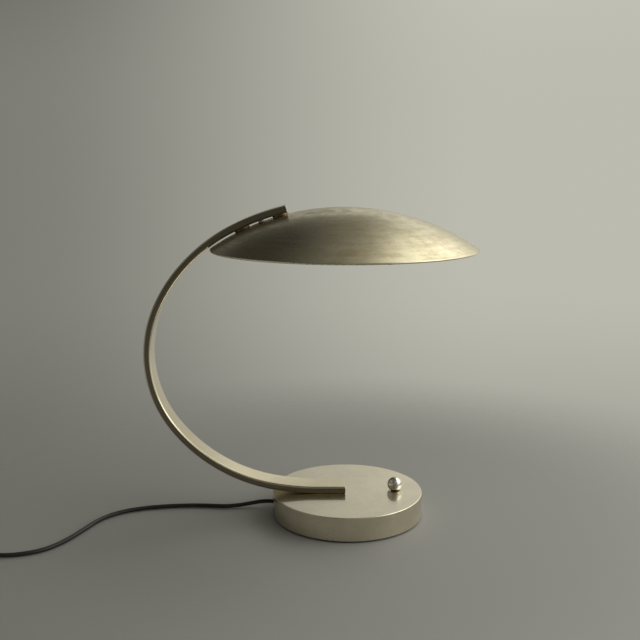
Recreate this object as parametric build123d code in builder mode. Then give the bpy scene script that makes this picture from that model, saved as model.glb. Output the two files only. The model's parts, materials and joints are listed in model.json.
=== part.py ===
from math import acos, asin, cos, degrees, pi, radians, sin, sqrt, tan
import os

from build123d import *

os.makedirs("parts", exist_ok=True)

# Arc table lamp: a weighted drum base, a flat C-shaped arm and a shallow dome that slides on the arm's tip.
# Millimetres, +Z up, X to the front of the shade, origin under the middle of the base on the table top.

# Shared clearances
overrun = 2.0                 # how far a cut runs past the face that it opens
fit_gap = 0.1                 # between fixed pieces that slip together
running_gap = 0.3             # between pieces that slide on each other

# Base
base_radius = 98.0
shell_height = 30.0
shell_wall = 1.6
shell_edge = 1.0              # rounding of the drum's top edge
felt_thickness = 2.0
felt_inset = 2.0
plate_thickness = 2.0
weight_thickness = 10.0
weight_slack = 1.4            # between the weight and the drum's wall
plate_screw_count = 3
plate_screw_reach = 80.0      # from the base's middle to the screws
plate_screw_radius = 1.9
plate_screw_head = 3.8
plate_screw_sink = 1.7
plate_screw_length = 9.0

# Foot of the arm, flat on the base
foot_end_x = -2.8
foot_length = 33.45
bolt_radius = 3.0
bolt_head_radius = 5.0
bolt_head_height = 5.0
bolt_bite = 4.2               # how far the bolts reach into the foot block
bolt_inset = 9.5
bolt_pitch = 15.0
sleeve_radius = 6.0
bush_pitch = 17.0             # from the second bolt to the wire bush
bush_radius = 3.6
bush_collar = 5.5
bush_flange = 1.6             # thickness of the bush's collar, under the drum's top

# Arm, with its radii along the middle of the band
arm_width = 36.0
arm_thickness = 9.2
arm_edge = 3.0
arm_wall = 1.2
rise_radius = 335.4
rise_sweep = 10.2
lower_radius = 209.2
lower_sweep = 42.4
middle_radius = 152.8
middle_sweep = 63.7
upper_radius = 211.4
upper_sweep = 36.4
tip_radius = 310.4
tip_sweep = 13.9
cap_thickness = 1.6
foot_block_length = 30.0
tip_block_width = 24.0
tip_block_sweep = 11.5
lead_radius = 1.3
lead_bend = 2.6
lead_tail = 11.0              # how far the arm's lead hangs below the wire bush's collar

# Shade and what holds it
glide_gap = 2.4               # daylight between the arm's tip and the dome
rim_radius = 168.2
shade_wall = 1.2
bead_radius = 1.3             # rolled edge of the rim
slide_angle = 3.5             # degrees each way along the arm's tip
stud_setback_angle = 6.7      # degrees from the arm's end to the stud
pad_spread_angle = 4.8        # degrees from the stud to each pad
pad_radius = 10.2
stud_radius = 3.5
stud_bore = 2.0
stud_head_radius = 6.0
stud_head_height = 0.9
slot_slack = 0.4              # beside the stud in the shade's slot
clamp_radius = 13.0
clamp_thickness = 3.0
spring_radius = 8.0
spring_thickness = 1.2
nut_across = 13.0
nut_height = 4.0
stud_end = 2.0                # stud that shows below its nut

# Lampholders and bulbs
bracket_thickness = 1.5
bracket_width = 18.0
bracket_tail = 11.0           # behind the stud
bracket_lead = 27.0           # ahead of the stud, square to it
bracket_reach = 50.0          # from the stud to the upright plate, level
bracket_bend = 3.0
crossbar_width = 104.0
crossbar_height = 34.0
crossbar_corner = 6.0
holder_spacing = 64.0
holder_radius = 20.0
holder_length = 54.0
holder_shoulder = 12.0
holder_back_radius = 12.0
nipple_radius = 4.9
nipple_bore = 3.4
nipple_length = 14.0
nipple_bite = 6.0             # how far the nipple reaches into the holder
holder_nut_radius = 8.5
holder_nut_height = 3.0
bulb_cap_radius = 13.2
bulb_cap_length = 30.0
bulb_wall = 0.9
bulb_neck_radius = 13.0
bulb_globe_radius = 27.5
bulb_globe_reach = 52.0       # from the holder's mouth to the middle of the globe
bulb_shoulder = 40            # degrees that the neck turns out to the globe
bulb_clearance = 5.0          # between the globes and the dome
holder_lead_radius = 1.2
holder_lead_bend = 5.0
holder_lead_drop = 13.0

# Switch
switch_x = 62.7
switch_radius = 12.0
switch_height = 14.4
switch_bush_radius = 4.0
switch_nut_radius = 5.3
switch_nut_height = 1.4
switch_cavity_radius = 4.6
switch_cavity_height = 8.0
switch_floor = 2.0
switch_travel = 1.2
stem_radius = 2.0
stem_foot_radius = 4.0
stem_foot_height = 2.0
stem_bite = 5.0               # how far the stem reaches into the ball
ball_radius = 9.6
ball_lift = 7.2               # middle of the ball above the base
press_room = 0.4              # under the ball when it is pushed down
ball_recess_radius = 5.8
ball_recess_depth = 2.0

# Cord inside the base
cord_diameter = 5.4
cord_height = 9.1
cord_azimuth = 171.0
grommet_flange = 4.9
grommet_neck = 3.8
grommet_lip = 1.5
channel_width = 16.0
channel_end = 40.0            # inner end of the cord's channel in the weight, from the middle
clamp_block_length = 10.0
clamp_block_inset = 16.0      # from the drum's inner wall to the clamp block
clamp_screw_radius = 1.5
cord_tail = 6.0               # sheathed cord that shows inside the clamp block
core_radius = 1.1
core_spread = 1.4             # from the cord's axis to each core
core_fan = 3.0                # the same where the cores leave the channel
core_bend = 4.0
terminal_x = 15.0
terminal_y = 38.0
terminal_length = 26.0
terminal_width = 16.0
terminal_height = 12.0
terminal_hole = 1.6
terminal_pitch = 8.0

# Cord outside the base
floor_lift = 0.05
cord_lead = 13.0              # straight stretch out of the grommet
cord_landing = (-131.0, 19.0, 4.6)
cord_route = ((-158.0, 12.6), (-194.0, 17.4), (-232.0, 15.6), (-269.0, 8.6), (-300.0, -5.6), (-322.0, -31.0),
              (-334.0, -66.0), (-347.0, -98.0), (-367.0, -126.0), (-399.0, -139.0))
bend_share = 0.45             # of the shorter run, taken by each bend
coil_gap = 0.5                # between neighbouring turns and layers
coil_gap_step = 3.0           # spacing of the points that measure the coil's least gap
coil_mid_shares = 6.0         # middle radius of the turns, in cord diameters
coil_in_halves = 6
coil_out_halves = 5
coil_x = -458.0
coil_y = -181.0
coil_run_in = 23.6            # straight stretch into the coil
coil_tail = 37.0
tie_thickness = 1.0
tie_width = 8.0
tie_slack = 0.2
tie_corner = 2.4
plug_length = 38.0
plug_width = 34.0
plug_corner = 7.0
plug_edge = 4.0
plug_waist = 20.0
boot_length = 16.0
boot_front = 5.6
boot_back = 3.9
boot_bite = 6.0
pin_radius = 2.0
pin_length = 19.0
pin_spacing = 19.0
pin_bite = 8.0
pin_tip = 1.2

# Levels in the base, from the table top upwards
shell_bottom = felt_thickness
plate_top = shell_bottom + plate_thickness
weight_top = plate_top + weight_thickness
base_top = shell_bottom + shell_height
shell_under = base_top - shell_wall
shell_inner = base_radius - shell_wall
weight_radius = shell_inner - weight_slack

# The arm's middle line: a straight foot, then five arcs, each tangent to the last
arm_axis_z = base_top + arm_thickness / 2
foot_bend_x = foot_end_x - foot_length


def outward(angle):
    """Direction in the arm's plane, measured from straight up towards the back of the lamp."""
    return Vector(-sin(radians(angle)), 0, cos(radians(angle)))


def forward(angle):
    """Direction along the dome towards its crown, at the same angle."""
    return Vector(cos(radians(angle)), 0, sin(radians(angle)))


rise_end = 180 - rise_sweep
lower_end = rise_end - lower_sweep
middle_end = lower_end - middle_sweep
upper_end = middle_end - upper_sweep
tip_angle = upper_end - tip_sweep
rise_centre = Vector(foot_bend_x, 0, arm_axis_z + rise_radius)
lower_centre = rise_centre + outward(rise_end) * (rise_radius - lower_radius)
middle_centre = lower_centre + outward(lower_end) * (lower_radius - middle_radius)
upper_centre = middle_centre + outward(middle_end) * (middle_radius - upper_radius)
dome_centre = upper_centre + outward(upper_end) * (upper_radius - tip_radius)
slide_axis = Axis(dome_centre, (0, 1, 0))

# Radii about the dome's centre, from the arm inwards
arm_under = tip_radius - arm_thickness / 2
shade_radius = arm_under - glide_gap
shade_inner = shade_radius - shade_wall
clamp_face = shade_inner - running_gap
clamp_under = clamp_face - clamp_thickness
spring_under = clamp_under - spring_thickness
bracket_under = spring_under - bracket_thickness
nut_under = bracket_under - nut_height
stud_low = nut_under - stud_end
stud_angle = tip_angle + stud_setback_angle
pad_angles = (stud_angle - pad_spread_angle, stud_angle + pad_spread_angle)


def dome_plane(angle, radius):
    """Plane square to the dome's radius, with its x towards the crown."""
    return Plane(dome_centre + outward(angle) * radius, x_dir=forward(angle), z_dir=outward(angle))


# Round pieces that stand on their own lower end
standing = (Align.CENTER, Align.CENTER, Align.MIN)


def keep(builder, name):
    builder.part.label = name
    export_step(builder.part, f"parts/{name}.step")


with BuildLine(Plane.XZ) as arm_line:
    foot_run = Line((foot_end_x, arm_axis_z), (foot_bend_x, arm_axis_z))
    rise_run = JernArc(foot_run @ 1, foot_run % 1, rise_radius, -rise_sweep)
    lower_run = JernArc(rise_run @ 1, rise_run % 1, lower_radius, -lower_sweep)
    middle_run = JernArc(lower_run @ 1, lower_run % 1, middle_radius, -middle_sweep)
    upper_run = JernArc(middle_run @ 1, middle_run % 1, upper_radius, -upper_sweep)
    tip_run = JernArc(upper_run @ 1, upper_run % 1, tip_radius, -tip_sweep)

# Places along the foot
bolt_places = [(foot_end_x - bolt_inset - i * bolt_pitch, 0) for i in range(2)]
bush_x = foot_end_x - bolt_inset - bolt_pitch - bush_pitch
inner_width = arm_width - 2 * arm_wall
inner_height = arm_thickness - 2 * arm_wall

# Cord's way through the base wall
cord_radius = cord_diameter / 2
cord_out = Vector(cos(radians(cord_azimuth)), sin(radians(cord_azimuth)), 0)
cord_axis_point = Vector(0, 0, cord_height)
grommet_face = base_radius + fit_gap + grommet_lip
clamp_block_start = shell_inner - clamp_block_inset - clamp_block_length
cord_inner_end = clamp_block_start - cord_tail


def cord_plane(distance):
    """Plane square to the cord's axis at a distance from the base's middle, facing out."""
    return Plane(cord_axis_point + cord_out * distance, x_dir=(0, 0, 1), z_dir=cord_out)


# Drum of spun metal, open below
with BuildPart() as base_shell:
    with BuildSketch(Plane.XY.offset(shell_bottom)):
        Circle(base_radius)
    extrude(amount=shell_height)
    fillet(base_shell.edges().group_by(Axis.Z)[-1], radius=shell_edge)
    with BuildSketch(Plane.XY.offset(shell_bottom)):
        Circle(shell_inner)
    extrude(amount=shell_height - shell_wall, mode=Mode.SUBTRACT)
    with BuildSketch(Plane.XY.offset(shell_under)):
        with Locations(*bolt_places):
            Circle(bolt_radius + fit_gap)
        with Locations((bush_x, 0)):
            Circle(bush_radius + fit_gap)
        with Locations((switch_x, 0)):
            Circle(switch_bush_radius + fit_gap)
    extrude(amount=shell_wall, mode=Mode.SUBTRACT)
    with BuildSketch(cord_plane(shell_inner - overrun)):
        Circle(grommet_neck + fit_gap)
    extrude(amount=shell_wall + 2 * overrun, mode=Mode.SUBTRACT)
keep(base_shell, "base_shell")

# Cast weight with a channel for the cord, bolt holes with counterbores below, and tapped screw holes
with BuildPart() as base_weight:
    with BuildSketch(Plane.XY.offset(plate_top)):
        Circle(weight_radius)
        with Locations(*bolt_places):
            Circle(bolt_radius + fit_gap, mode=Mode.SUBTRACT)
        with PolarLocations(plate_screw_reach, plate_screw_count):
            Circle(plate_screw_radius + fit_gap, mode=Mode.SUBTRACT)
    extrude(amount=weight_thickness)
    with BuildSketch(Plane.XY.offset(plate_top)):
        with Locations(*bolt_places):
            Circle(bolt_head_radius + fit_gap)
    extrude(amount=bolt_head_height + fit_gap, mode=Mode.SUBTRACT)
    with BuildSketch(Plane((0, 0, plate_top), x_dir=cord_out, z_dir=(0, 0, 1))):
        with Locations(((channel_end + base_radius) / 2, 0)):
            Rectangle(base_radius - channel_end, channel_width)
    extrude(amount=weight_thickness, mode=Mode.SUBTRACT)
keep(base_weight, "base_weight")

# Steel plate that closes the drum, countersunk for its screws
with BuildPart() as base_plate:
    with BuildSketch(Plane.XY.offset(shell_bottom)):
        Circle(shell_inner - fit_gap)
    extrude(amount=plate_thickness)
    with Locations(base_plate.faces().sort_by(Axis.Z)[0]):
        with PolarLocations(plate_screw_reach, plate_screw_count):
            CounterSinkHole(plate_screw_radius + fit_gap, plate_screw_head + fit_gap)
keep(base_plate, "base_plate")

with BuildPart() as base_felt:
    with BuildSketch():
        Circle(base_radius - felt_inset)
    extrude(amount=felt_thickness)
keep(base_felt, "base_felt")

# Countersunk screws, one solid each
with BuildPart() as base_plate_screws:
    with PolarLocations(plate_screw_reach, plate_screw_count):
        with Locations((0, 0, shell_bottom)):
            Cone(plate_screw_head, plate_screw_radius, plate_screw_sink, align=standing)
            Cylinder(plate_screw_radius, plate_screw_length, align=standing)
keep(base_plate_screws, "base_plate_screws")

# Two bolts that clamp the weight, the drum and the foot together
with BuildPart() as foot_bolts:
    with BuildSketch(Plane.XY.offset(plate_top)):
        with Locations(*bolt_places):
            Circle(bolt_head_radius)
    extrude(amount=bolt_head_height)
    with BuildSketch(Plane.XY.offset(plate_top)):
        with Locations(*bolt_places):
            Circle(bolt_radius)
    extrude(amount=base_top + arm_wall + bolt_bite - plate_top)
keep(foot_bolts, "foot_bolts")

with BuildPart() as foot_sleeves:
    with BuildSketch(Plane.XY.offset(weight_top)):
        with Locations(*bolt_places):
            Circle(sleeve_radius)
            Circle(bolt_radius + fit_gap, mode=Mode.SUBTRACT)
    extrude(amount=shell_under - weight_top)
keep(foot_sleeves, "foot_sleeves")

# Bush that leads the wire out of the base and into the foot
bush_length = bush_flange + shell_wall + arm_wall
with BuildPart() as wire_bush:
    with BuildSketch(Plane.XY.offset(shell_under - bush_flange)):
        with Locations((bush_x, 0)):
            Circle(bush_radius)
    extrude(amount=bush_length)
    with BuildSketch(Plane.XY.offset(shell_under - bush_flange)):
        with Locations((bush_x, 0)):
            Circle(bush_collar)
    extrude(amount=bush_flange)
    with BuildSketch(Plane.XY.offset(shell_under - bush_flange)):
        with Locations((bush_x, 0)):
            Circle(lead_radius + running_gap)
    extrude(amount=bush_length, mode=Mode.SUBTRACT)
keep(wire_bush, "wire_bush")

# Hollow flat arm
with BuildPart() as arm_tube:
    with BuildSketch(Plane(foot_run @ 0, x_dir=(0, 1, 0), z_dir=foot_run % 0)):
        RectangleRounded(arm_width, arm_thickness, arm_edge)
        RectangleRounded(inner_width, inner_height, arm_edge - arm_wall, mode=Mode.SUBTRACT)
    sweep(path=arm_line.line)
    with BuildSketch(Plane.XY.offset(base_top)):
        with Locations(*bolt_places):
            Circle(bolt_radius + fit_gap)
        with Locations((bush_x, 0)):
            Circle(bush_radius + fit_gap)
    extrude(amount=arm_wall + overrun, mode=Mode.SUBTRACT)
    with BuildSketch(dome_plane(stud_angle, arm_under - arm_wall)):
        Circle(stud_radius + fit_gap)
    extrude(amount=2 * arm_wall + fit_gap, mode=Mode.SUBTRACT)
keep(arm_tube, "arm_tube")


def end_cap(place):
    with BuildPart() as cap:
        with BuildSketch(place):
            RectangleRounded(inner_width - 2 * fit_gap, inner_height - 2 * fit_gap, arm_edge - arm_wall)
        extrude(amount=cap_thickness)
    return cap


keep(end_cap(Plane(foot_run @ 0, x_dir=(0, 1, 0), z_dir=foot_run % 0)), "arm_foot_cap")
keep(end_cap(Plane(tip_run @ 1, x_dir=(0, 1, 0), z_dir=-(tip_run % 1))), "arm_tip_cap")

# Block in the foot that the bolts are screwed into
with BuildPart() as arm_foot_block:
    with Locations((foot_end_x - cap_thickness - foot_block_length / 2, 0, arm_axis_z)):
        Box(foot_block_length, inner_width - 2 * fit_gap - arm_edge, inner_height - 2 * fit_gap)
    with BuildSketch(Plane.XY.offset(base_top)):
        with Locations(*bolt_places):
            Circle(bolt_radius + fit_gap)
    extrude(amount=arm_thickness, mode=Mode.SUBTRACT)
keep(arm_foot_block, "arm_foot_block")

# Curved block in the tip that holds the stud, grooved for the lead
block_start = tip_angle + degrees((cap_thickness + fit_gap) / tip_radius)
with BuildPart() as arm_tip_block:
    with BuildSketch(Plane(dome_centre + outward(block_start) * tip_radius, x_dir=(0, 1, 0),
                           z_dir=forward(block_start))):
        Rectangle(tip_block_width, inner_height - 2 * fit_gap)
    revolve(axis=slide_axis, revolution_arc=-tip_block_sweep)
    with BuildSketch(dome_plane(stud_angle, arm_under)):
        Circle(stud_radius + fit_gap)
    extrude(amount=arm_thickness, mode=Mode.SUBTRACT)
    with BuildSketch(dome_plane(stud_angle, arm_under)):
        Circle(stud_head_radius + fit_gap)
    extrude(amount=arm_wall + stud_head_height + 2 * fit_gap, mode=Mode.SUBTRACT)
    with BuildSketch(dome_plane(stud_angle, arm_under)):
        with Locations((-tip_radius * radians(tip_block_sweep) / 2, 0)):
            Rectangle(tip_radius * radians(tip_block_sweep), 2 * lead_radius + 2 * running_gap)
    extrude(amount=arm_thickness, both=True, mode=Mode.SUBTRACT)
keep(arm_tip_block, "arm_tip_block")

# Lead from the base through the arm and down the hollow stud
bend_angle = stud_angle + degrees(lead_bend / tip_radius)
lead_low = shell_under - lead_tail
lead_lean = asin((foot_bend_x + lead_bend - bush_x) / (rise_radius + lead_bend))
lead_high = arm_axis_z + rise_radius - (rise_radius + lead_bend) * cos(lead_lean)
with BuildLine(Plane.XZ) as lead_line:
    climb = Line((bush_x, lead_low), (bush_x, lead_high))
    bend_out = JernArc(climb @ 1, climb % 1, lead_bend, 90 - degrees(lead_lean))
    lead_rise = JernArc(bend_out @ 1, bend_out % 1, rise_radius, degrees(lead_lean) - rise_sweep)
    lead_lower = JernArc(lead_rise @ 1, lead_rise % 1, lower_radius, -lower_sweep)
    lead_middle = JernArc(lead_lower @ 1, lead_lower % 1, middle_radius, -middle_sweep)
    lead_upper = JernArc(lead_middle @ 1, lead_middle % 1, upper_radius, -upper_sweep)
    lead_tip = JernArc(lead_upper @ 1, lead_upper % 1, tip_radius, bend_angle - upper_end)
    bend_in = JernArc(lead_tip @ 1, lead_tip % 1, lead_bend, -90)
    Line(bend_in @ 1, (bend_in @ 1) + (bend_in % 1) * (tip_radius - lead_bend - stud_low))
with BuildPart() as arm_lead:
    with BuildSketch(Plane(climb @ 0, z_dir=climb % 0)):
        Circle(lead_radius)
    sweep(path=lead_line.line)
keep(arm_lead, "arm_lead")

# Two pads on the arm's underside that the dome glides on
with BuildPart() as glide_pads:
    for angle in pad_angles:
        with BuildSketch(dome_plane(angle, shade_radius - overrun)):
            Circle(pad_radius)
        extrude(amount=glide_gap + 2 * overrun)
    with Locations(Location(dome_centre, (90, 0, 0))):
        Cylinder(arm_under - fit_gap, arm_width, mode=Mode.INTERSECT)
    with Locations(dome_centre):
        Sphere(shade_radius + running_gap, mode=Mode.SUBTRACT)
keep(glide_pads, "glide_pads")

# Hollow stud with a flat head inside the arm
with BuildPart() as clamp_stud:
    with BuildSketch(dome_plane(stud_angle, stud_low)):
        Circle(stud_radius)
    extrude(amount=arm_under + arm_wall + stud_head_height - stud_low)
    with BuildSketch(dome_plane(stud_angle, arm_under + arm_wall + fit_gap)):
        Circle(stud_head_radius)
    extrude(amount=stud_head_height - fit_gap)
    with BuildSketch(dome_plane(stud_angle, stud_low)):
        Circle(stud_bore)
    extrude(amount=arm_thickness + tip_radius - stud_low, mode=Mode.SUBTRACT)
keep(clamp_stud, "clamp_stud")


def stud_ring(low, high, radius):
    with BuildPart() as ring:
        with BuildSketch(dome_plane(stud_angle, low)):
            Circle(radius)
            Circle(stud_radius + fit_gap, mode=Mode.SUBTRACT)
        extrude(amount=high - low)
    return ring


# Dished washer inside the dome
with BuildPart() as clamp_washer:
    with BuildSketch(dome_plane(stud_angle, clamp_under)):
        Circle(clamp_radius)
        Circle(stud_radius + fit_gap, mode=Mode.SUBTRACT)
    extrude(amount=clamp_thickness + overrun)
    with Locations(dome_centre):
        Sphere(clamp_face, mode=Mode.INTERSECT)
keep(clamp_washer, "clamp_washer")
keep(stud_ring(spring_under, clamp_under, spring_radius), "spring_washer")

with BuildPart() as clamp_nut:
    with BuildSketch(dome_plane(stud_angle, nut_under)):
        RegularPolygon(nut_across / 2, 6, major_radius=False)
        Circle(stud_radius + fit_gap, mode=Mode.SUBTRACT)
    extrude(amount=nut_height)
keep(clamp_nut, "clamp_nut")

# Shallow dome with a rolled rim and a slot for the stud, hidden under the arm
rim_lean = degrees(acos(rim_radius / shade_radius))
bead_place = (shade_radius - bead_radius) / shade_radius
slot_run = 2 * shade_radius * radians(slide_angle) + slot_slack
with BuildPart() as shade:
    with BuildSketch(Plane(dome_centre, x_dir=(1, 0, 0), z_dir=(0, -1, 0))):
        with BuildLine():
            outside = CenterArc((0, 0), shade_radius, rim_lean, 90 - rim_lean)
            inside = CenterArc((0, 0), shade_inner, rim_lean, 90 - rim_lean)
            Line((0, shade_radius), (0, shade_inner))
            Line(outside @ 0, inside @ 0)
        make_face()
        with Locations((rim_radius * bead_place, sqrt(shade_radius**2 - rim_radius**2) * bead_place)):
            Circle(bead_radius)
    revolve(axis=Axis(dome_centre, (0, 0, 1)))
    with BuildSketch(dome_plane(stud_angle, shade_inner - overrun)):
        SlotCenterToCenter(slot_run, 2 * (stud_radius + slot_slack))
    extrude(amount=shade_wall + 2 * overrun, mode=Mode.SUBTRACT)
keep(shade, "shade")

# Bent strip on the stud with a crossbar for the two lampholders
strip_middle = dome_centre + outward(stud_angle) * (spring_under - bracket_thickness / 2)
strip_back = strip_middle - forward(stud_angle) * bracket_tail
strip_front = strip_middle + forward(stud_angle) * bracket_lead
crossbar_x = strip_middle.X + bracket_reach
holder_back = crossbar_x + bracket_thickness / 2
globe_x = holder_back + holder_length + bulb_globe_reach
globe_depth = shade_inner - bulb_globe_radius - bulb_clearance
globe_offset = Vector(globe_x - dome_centre.X, holder_spacing / 2, 0).length
holder_z = dome_centre.Z + sqrt(globe_depth**2 - globe_offset**2)
holder_sides = {"near": -holder_spacing / 2, "far": holder_spacing / 2}
holder_places = [(side, 0) for side in holder_sides.values()]


def crossbar_plane(x):
    """Upright plane across the lampholders, facing the front, with its x along +Y."""
    return Plane((x, 0, holder_z), x_dir=(0, 1, 0), z_dir=(1, 0, 0))


with BuildPart() as socket_bracket:
    with BuildSketch(Plane.XZ):
        with BuildLine():
            FilletPolyline((strip_back.X, strip_back.Z), (strip_front.X, strip_front.Z),
                           (crossbar_x, strip_front.Z), (crossbar_x, holder_z), radius=bracket_bend)
        trace(line_width=bracket_thickness)
    extrude(amount=bracket_width / 2, both=True)
    with BuildSketch(crossbar_plane(crossbar_x - bracket_thickness / 2)):
        RectangleRounded(crossbar_width, crossbar_height, crossbar_corner)
        with Locations(*holder_places):
            Circle(nipple_radius + fit_gap, mode=Mode.SUBTRACT)
    extrude(amount=bracket_thickness)
    with BuildSketch(dome_plane(stud_angle, bracket_under - overrun)):
        Circle(stud_radius + fit_gap)
    extrude(amount=bracket_thickness + 2 * overrun, mode=Mode.SUBTRACT)
keep(socket_bracket, "socket_bracket")

nipple_back = holder_back + nipple_bite - nipple_length
with BuildPart() as holder_nipples:
    with BuildSketch(crossbar_plane(nipple_back)):
        with Locations(*holder_places):
            Circle(nipple_radius)
            Circle(nipple_bore, mode=Mode.SUBTRACT)
    extrude(amount=nipple_length)
keep(holder_nipples, "holder_nipples")

with BuildPart() as holder_nuts:
    with BuildSketch(crossbar_plane(holder_back - bracket_thickness - holder_nut_height)):
        with Locations(*holder_places):
            RegularPolygon(holder_nut_radius, 6)
            Circle(nipple_radius + fit_gap, mode=Mode.SUBTRACT)
    extrude(amount=holder_nut_height)
keep(holder_nuts, "holder_nuts")

holder_bore = bulb_cap_radius + running_gap
shoulder_rise = bulb_globe_radius * cos(radians(bulb_shoulder)) - bulb_neck_radius
shoulder_radius = shoulder_rise / (1 - cos(radians(bulb_shoulder)))
shoulder_run = (shoulder_radius + bulb_globe_radius) * sin(radians(bulb_shoulder))


def bulb_side(wall):
    """Half outline of the glass at a depth below its surface, from the neck to the tip."""
    neck = Line((0, bulb_neck_radius - wall), (bulb_globe_reach - shoulder_run, bulb_neck_radius - wall))
    shoulder = JernArc(neck @ 1, neck % 1, shoulder_radius + wall, bulb_shoulder)
    JernArc(shoulder @ 1, shoulder % 1, bulb_globe_radius - wall, -90 - bulb_shoulder)


for side, side_y in holder_sides.items():
    holder_plane = Plane((holder_back, side_y, holder_z), x_dir=(1, 0, 0), z_dir=(0, -1, 0))
    mouth_plane = Plane((holder_back + holder_length, side_y, holder_z), x_dir=(1, 0, 0), z_dir=(0, -1, 0))
    bulb_axis = Axis(holder_plane.origin, (1, 0, 0))

    with BuildPart() as lampholder:
        with BuildSketch(holder_plane):
            Polygon((0, nipple_radius + fit_gap), (0, holder_back_radius), (holder_shoulder, holder_radius),
                    (holder_length, holder_radius), (holder_length, holder_bore),
                    (holder_length - bulb_cap_length, holder_bore),
                    (holder_length - bulb_cap_length, nipple_radius + fit_gap), align=None)
        revolve(axis=bulb_axis)
    keep(lampholder, f"lampholder_{side}")

    with BuildPart() as bulb_cap:
        with BuildSketch(crossbar_plane(holder_back + holder_length - bulb_cap_length)):
            with Locations((side_y, 0)):
                Circle(bulb_cap_radius)
        extrude(amount=bulb_cap_length)
    keep(bulb_cap, f"bulb_cap_{side}")

    with BuildPart() as bulb_glass:
        with BuildSketch(mouth_plane):
            with BuildLine():
                bulb_side(0)
                bulb_side(bulb_wall)
                Line((0, bulb_neck_radius), (0, bulb_neck_radius - bulb_wall))
                Line((bulb_globe_reach + bulb_globe_radius, 0),
                     (bulb_globe_reach + bulb_globe_radius - bulb_wall, 0))
            make_face()
        revolve(axis=bulb_axis)
    keep(bulb_glass, f"bulb_glass_{side}")

# Leads from the stud to the two lampholders
lead_end = dome_centre + outward(stud_angle) * stud_low
with BuildPart() as holder_leads:
    for side_y in holder_sides.values():
        apart = Vector(0, holder_lead_radius + fit_gap if side_y > 0 else -holder_lead_radius - fit_gap, 0)
        with BuildLine() as lead_route:
            FilletPolyline(lead_end + apart, lead_end + apart - outward(stud_angle) * holder_lead_drop,
                           (nipple_back - holder_lead_drop, side_y, holder_z),
                           (nipple_back + nipple_bite, side_y, holder_z), radius=holder_lead_bend)
        with BuildSketch(Plane(lead_route.line @ 0, z_dir=lead_route.line % 0)):
            Circle(holder_lead_radius)
        sweep(path=lead_route.line)
keep(holder_leads, "holder_leads")

# Push switch: body with a threaded bush, ring nut, stem and ball
switch_bottom = shell_under - switch_height
cavity_bottom = switch_bottom + switch_floor
cavity_top = cavity_bottom + switch_cavity_height


def switch_plane(height):
    return Plane((switch_x, 0, height))


with BuildPart() as switch_body:
    with BuildSketch(switch_plane(switch_bottom)):
        Circle(switch_radius)
    extrude(amount=switch_height)
    with BuildSketch(switch_plane(shell_under)):
        Circle(switch_bush_radius)
    extrude(amount=shell_wall + switch_nut_height)
    with BuildSketch(switch_plane(cavity_bottom)):
        Circle(switch_cavity_radius)
    extrude(amount=switch_cavity_height, mode=Mode.SUBTRACT)
    with BuildSketch(switch_plane(cavity_top)):
        Circle(stem_radius + running_gap)
    extrude(amount=base_top + switch_nut_height - cavity_top, mode=Mode.SUBTRACT)
keep(switch_body, "switch_body")

with BuildPart() as switch_nut:
    with BuildSketch(switch_plane(base_top)):
        Circle(switch_nut_radius)
        Circle(switch_bush_radius + fit_gap, mode=Mode.SUBTRACT)
    extrude(amount=switch_nut_height)
keep(switch_nut, "switch_nut")

ball_z = base_top + ball_lift
ball_flat = ball_lift - switch_travel - press_room
recess_top = ball_z - ball_flat + ball_recess_depth
stem_bottom = cavity_top - running_gap - stem_foot_height
with BuildPart() as switch_stem:
    with BuildSketch(switch_plane(stem_bottom)):
        Circle(stem_foot_radius)
    extrude(amount=stem_foot_height)
    with BuildSketch(switch_plane(stem_bottom)):
        Circle(stem_radius)
    extrude(amount=recess_top + stem_bite - stem_bottom)
keep(switch_stem, "switch_stem")

with BuildPart() as ball_knob:
    with Locations((switch_x, 0, ball_z)):
        Sphere(ball_radius)
    split(bisect_by=switch_plane(ball_z - ball_flat), keep=Keep.TOP)
    with BuildSketch(switch_plane(ball_z - ball_flat)):
        Circle(ball_recess_radius)
    extrude(amount=ball_recess_depth, mode=Mode.SUBTRACT)
    with BuildSketch(switch_plane(recess_top)):
        Circle(stem_radius + fit_gap)
    extrude(amount=stem_bite + fit_gap, mode=Mode.SUBTRACT)
keep(ball_knob, "ball_knob")

# Rubber grommet in the drum's wall
with BuildPart() as cord_grommet:
    with BuildSketch(cord_plane(base_radius + fit_gap)):
        Circle(grommet_flange)
    extrude(amount=grommet_lip)
    with BuildSketch(cord_plane(shell_inner - running_gap - grommet_lip)):
        Circle(grommet_flange)
    extrude(amount=grommet_lip)
    with BuildSketch(cord_plane(shell_inner - running_gap)):
        Circle(grommet_neck)
    extrude(amount=shell_wall + running_gap + fit_gap)
    with BuildSketch(cord_plane(shell_inner - running_gap - grommet_lip)):
        Circle(cord_radius + fit_gap)
    extrude(amount=grommet_face - shell_inner + running_gap + grommet_lip, mode=Mode.SUBTRACT)
keep(cord_grommet, "cord_grommet")

# Block in the weight's channel that grips the cord, with its grub screw
clamp_block_top = weight_top - fit_gap
clamp_block_middle = cord_out * (clamp_block_start + clamp_block_length / 2)
clamp_screw_low = cord_height + cord_radius + fit_gap
with BuildPart() as cord_clamp:
    with BuildSketch(Plane((clamp_block_middle.X, clamp_block_middle.Y, plate_top), x_dir=cord_out,
                           z_dir=(0, 0, 1))):
        Rectangle(clamp_block_length, channel_width - 2 * fit_gap)
        Circle(clamp_screw_radius + fit_gap, mode=Mode.SUBTRACT)
    extrude(amount=clamp_block_top - plate_top)
    with BuildSketch(cord_plane(clamp_block_start)):
        Circle(cord_radius + fit_gap)
    extrude(amount=clamp_block_length, mode=Mode.SUBTRACT)
keep(cord_clamp, "cord_clamp")

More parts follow.
